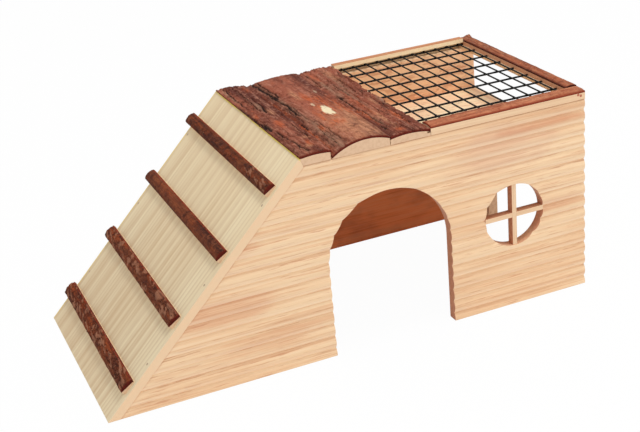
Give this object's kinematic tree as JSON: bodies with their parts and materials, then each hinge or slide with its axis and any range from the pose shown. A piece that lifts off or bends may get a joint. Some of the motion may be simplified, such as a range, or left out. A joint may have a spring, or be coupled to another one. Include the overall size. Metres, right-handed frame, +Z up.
{
  "type": "small pet house",
  "caption": "Wooden small-pet house with an arched doorway, a round barred window, a ramp with bark rungs, a bark slab roof and a wire-topped hay loft.",
  "frame": {"origin": "middle of the house's footprint, on the ground", "axes": "+X from the ramp's toe towards the end wall, +Y from the front panel to the back panel, +Z up"},
  "size_m": [0.368, 0.1714, 0.1549],
  "materials": {
    "pine_board": "bare softwood board with a shallow rippled face, satin",
    "ramp_pine": "bare softwood board, planed flat, satin",
    "bark": "natural conifer bark, rough and fissured",
    "sawn_wood": "bare sawn softwood, matt",
    "plywood": "bare plywood, matt",
    "black_wire": "black coated steel wire, semi-gloss",
    "nail_steel": "plain steel nails, dull"
  },
  "bodies": {
    "root": {"back_batten": "sawn_wood", "back_panel": "pine_board", "batten_nails": "nail_steel", "end_batten": "sawn_wood", "end_batten_bark": "bark", "end_lath": "sawn_wood", "end_wall": "pine_board", "front_batten": "sawn_wood", "front_batten_bark": "bark", "front_panel": "pine_board", "loft_floor": "plywood", "loft_rail_back": "plywood", "loft_rail_front": "plywood", "loft_strip": "plywood", "loft_wall": "plywood", "mesh_cross_wires": "black_wire", "mesh_long_wires": "black_wire", "ramp_board": "ramp_pine", "ramp_nails": "nail_steel", "ramp_rung_1": "sawn_wood", "ramp_rung_1_bark": "bark", "ramp_rung_2": "sawn_wood", "ramp_rung_2_bark": "bark", "ramp_rung_3": "sawn_wood", "ramp_rung_3_bark": "bark", "ramp_rung_4": "sawn_wood", "ramp_rung_4_bark": "bark", "roof_slab_1": "sawn_wood", "roof_slab_1_bark": "bark", "roof_slab_2": "sawn_wood", "roof_slab_2_bark": "bark", "roof_slab_3": "sawn_wood", "roof_slab_3_bark": "bark", "slab_nails": "nail_steel", "window_bar_level": "sawn_wood", "window_bar_upright": "sawn_wood"}
  },
  "joints": []
}
